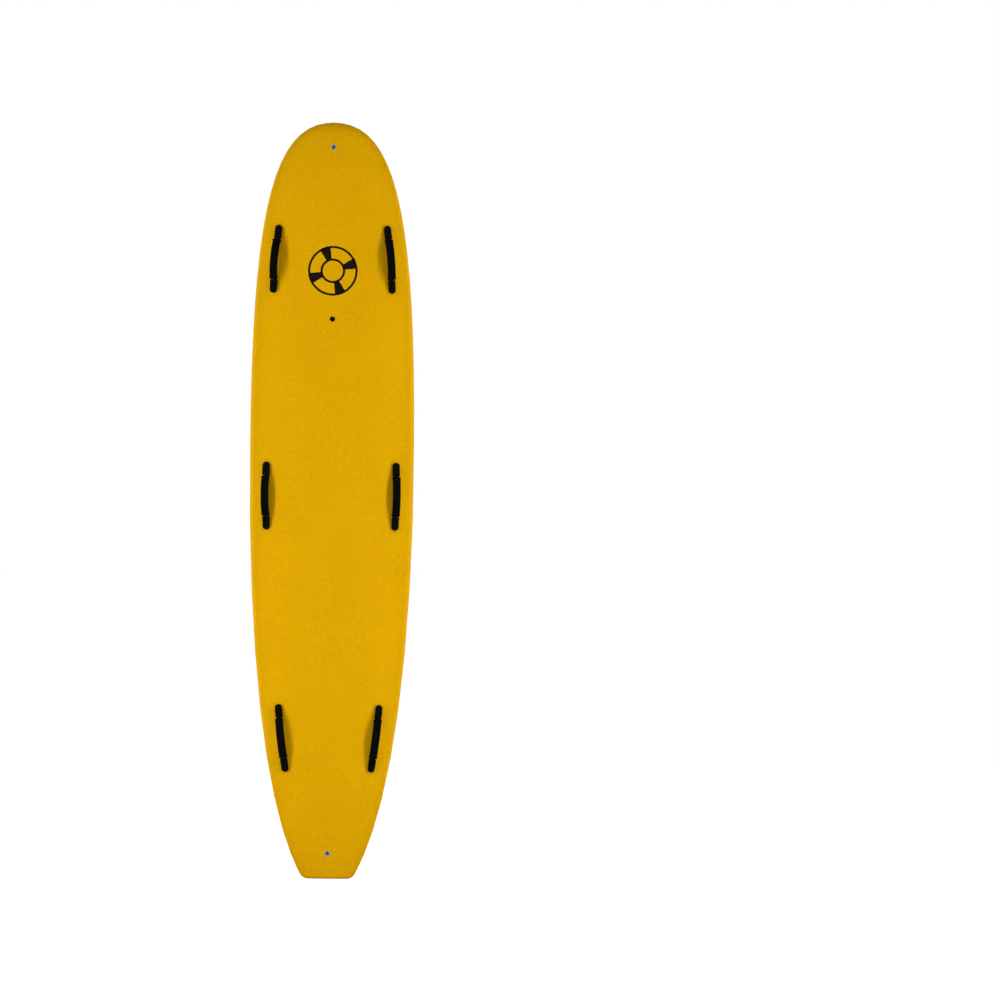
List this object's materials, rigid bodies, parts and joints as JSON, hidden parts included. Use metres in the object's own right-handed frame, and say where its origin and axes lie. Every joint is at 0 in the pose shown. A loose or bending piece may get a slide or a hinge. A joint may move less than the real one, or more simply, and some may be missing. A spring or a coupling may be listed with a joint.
{
  "type": "rescue board",
  "caption": "Long paddle rescue board with a soft foam deck, slick hard-edged bottom, three pairs of folding grab handles, leash plugs, a vent and a slide-in centre fin.",
  "frame": {"origin": "on the flat end of the tail, on the board's centreline", "axes": "+Z from tail to nose, -Y out of the deck, +Y out of the bottom towards the fin, +X to the right as the deck is seen"},
  "size_m": [0.698, 0.331, 3.2],
  "materials": {
    "deck_foam": "closed-cell foam skin with a fine pebbled grain, golden yellow",
    "bottom_slick": "smooth slick polyethylene sheet, satin white",
    "core_foam": "moulded bead foam, white",
    "stringer_wood": "clear plywood, unfinished",
    "cap_plastic": "moulded nylon, satin black",
    "loop_webbing": "woven nylon webbing, black",
    "grip_neoprene": "fabric-faced neoprene sleeve, black",
    "stainless_steel": "stainless steel, plain turned",
    "blackened_steel": "steel screw, black finish",
    "anchor_plastic": "moulded insert block, black",
    "plug_plastic": "moulded plastic, light blue grey",
    "vent_plastic": "moulded plastic, black",
    "seal_rubber": "soft rubber ring, black",
    "fin_box_plastic": "moulded polycarbonate, off-white",
    "fin_plastic": "glass-filled nylon, satin black"
  },
  "bodies": {
    "board": {"deck_foam_skin": "deck_foam", "bottom_slick_skin": "bottom_slick", "foam_core_left": "core_foam", "centre_stringer": "stringer_wood", "foam_core_right": "core_foam", "nose_leash_cup": "plug_plastic", "nose_leash_bar": "stainless_steel", "tail_leash_cup": "plug_plastic", "tail_leash_bar": "stainless_steel", "vent_body": "vent_plastic", "fin_box": "fin_box_plastic", "handle_nose_left_cap_upper": "cap_plastic", "handle_nose_left_cap_lower": "cap_plastic", "handle_nose_left_screw_upper": "blackened_steel", "handle_nose_left_screw_lower": "blackened_steel", "handle_nose_left_anchor": "anchor_plastic", "handle_nose_right_cap_upper": "cap_plastic", "handle_nose_right_cap_lower": "cap_plastic", "handle_nose_right_screw_upper": "blackened_steel", "handle_nose_right_screw_lower": "blackened_steel", "handle_nose_right_anchor": "anchor_plastic", "handle_middle_left_cap_upper": "cap_plastic", "handle_middle_left_cap_lower": "cap_plastic", "handle_middle_left_screw_upper": "blackened_steel", "handle_middle_left_screw_lower": "blackened_steel", "handle_middle_left_anchor": "anchor_plastic", "handle_middle_right_cap_upper": "cap_plastic", "handle_middle_right_cap_lower": "cap_plastic", "handle_middle_right_screw_upper": "blackened_steel", "handle_middle_right_screw_lower": "blackened_steel", "handle_middle_right_anchor": "anchor_plastic", "handle_tail_left_cap_upper": "cap_plastic", "handle_tail_left_cap_lower": "cap_plastic", "handle_tail_left_screw_upper": "blackened_steel", "handle_tail_left_screw_lower": "blackened_steel", "handle_tail_left_anchor": "anchor_plastic", "handle_tail_right_cap_upper": "cap_plastic", "handle_tail_right_cap_lower": "cap_plastic", "handle_tail_right_screw_upper": "blackened_steel", "handle_tail_right_screw_lower": "blackened_steel", "handle_tail_right_anchor": "anchor_plastic"},
    "nose_left_loop": {"handle_nose_left_strap": "loop_webbing", "handle_nose_left_grip": "grip_neoprene"},
    "nose_right_loop": {"handle_nose_right_strap": "loop_webbing", "handle_nose_right_grip": "grip_neoprene"},
    "middle_left_loop": {"handle_middle_left_strap": "loop_webbing", "handle_middle_left_grip": "grip_neoprene"},
    "middle_right_loop": {"handle_middle_right_strap": "loop_webbing", "handle_middle_right_grip": "grip_neoprene"},
    "tail_left_loop": {"handle_tail_left_strap": "loop_webbing", "handle_tail_left_grip": "grip_neoprene"},
    "tail_right_loop": {"handle_tail_right_strap": "loop_webbing", "handle_tail_right_grip": "grip_neoprene"},
    "fin": {"fin": "fin_plastic", "fin_pin": "stainless_steel", "fin_plate": "stainless_steel", "fin_screw": "stainless_steel"},
    "vent_seal": {"vent_seal": "seal_rubber"},
    "vent_screw": {"vent_screw": "vent_plastic"}
  },
  "joints": [
    {"name": "nose_left_fold", "type": "hinge", "parent": "board", "child": "nose_left_loop", "pos_m": [-0.24224, -0.01976, 2.6226], "axis": [0.0839, -0.05, 0.9952], "range_deg": [-40, 40], "stiffness_Nm_per_rad": 0.5},
    {"name": "nose_right_fold", "type": "hinge", "parent": "board", "child": "nose_right_loop", "pos_m": [0.24224, -0.01976, 2.6226], "axis": [-0.0839, -0.05, 0.9952], "range_deg": [-40, 40], "stiffness_Nm_per_rad": 0.5},
    {"name": "middle_left_fold", "type": "hinge", "parent": "board", "child": "middle_left_loop", "pos_m": [-0.27582, -0.00217, 1.62004], "axis": [-0.0102, 0.0058, 0.9999], "range_deg": [-40, 40], "stiffness_Nm_per_rad": 0.5},
    {"name": "middle_right_fold", "type": "hinge", "parent": "board", "child": "middle_right_loop", "pos_m": [0.27582, -0.00217, 1.62004], "axis": [0.0102, 0.0058, 0.9999], "range_deg": [-40, 40], "stiffness_Nm_per_rad": 0.5},
    {"name": "tail_left_fold", "type": "hinge", "parent": "board", "child": "tail_left_loop", "pos_m": [-0.19874, -0.01887, 0.594], "axis": [-0.1189, 0.0173, 0.9928], "range_deg": [-40, 40], "stiffness_Nm_per_rad": 0.5},
    {"name": "tail_right_fold", "type": "hinge", "parent": "board", "child": "tail_right_loop", "pos_m": [0.19874, -0.01887, 0.594], "axis": [0.1189, 0.0173, 0.9928], "range_deg": [-40, 40], "stiffness_Nm_per_rad": 0.5},
    {"name": "fin_slide", "type": "slide", "parent": "board", "child": "fin", "axis": [0, -0.0946, -0.9955], "range_m": [-0.018, 0.065]},
    {"name": "vent_lift", "type": "slide", "parent": "board", "child": "vent_seal", "axis": [0, -0.9997, -0.0251], "range_m": [0, 0.0025]},
    {"name": "vent_turn", "type": "hinge", "parent": "vent_seal", "child": "vent_screw", "pos_m": [0, -0.00916, 2.37], "axis": [0, -0.9997, -0.0251], "range_deg": [0, 730]}
  ],
  "couplings": [
    {"joint": "vent_turn", "follows": "vent_lift", "rad_per_m": 5026.5}
  ]
}
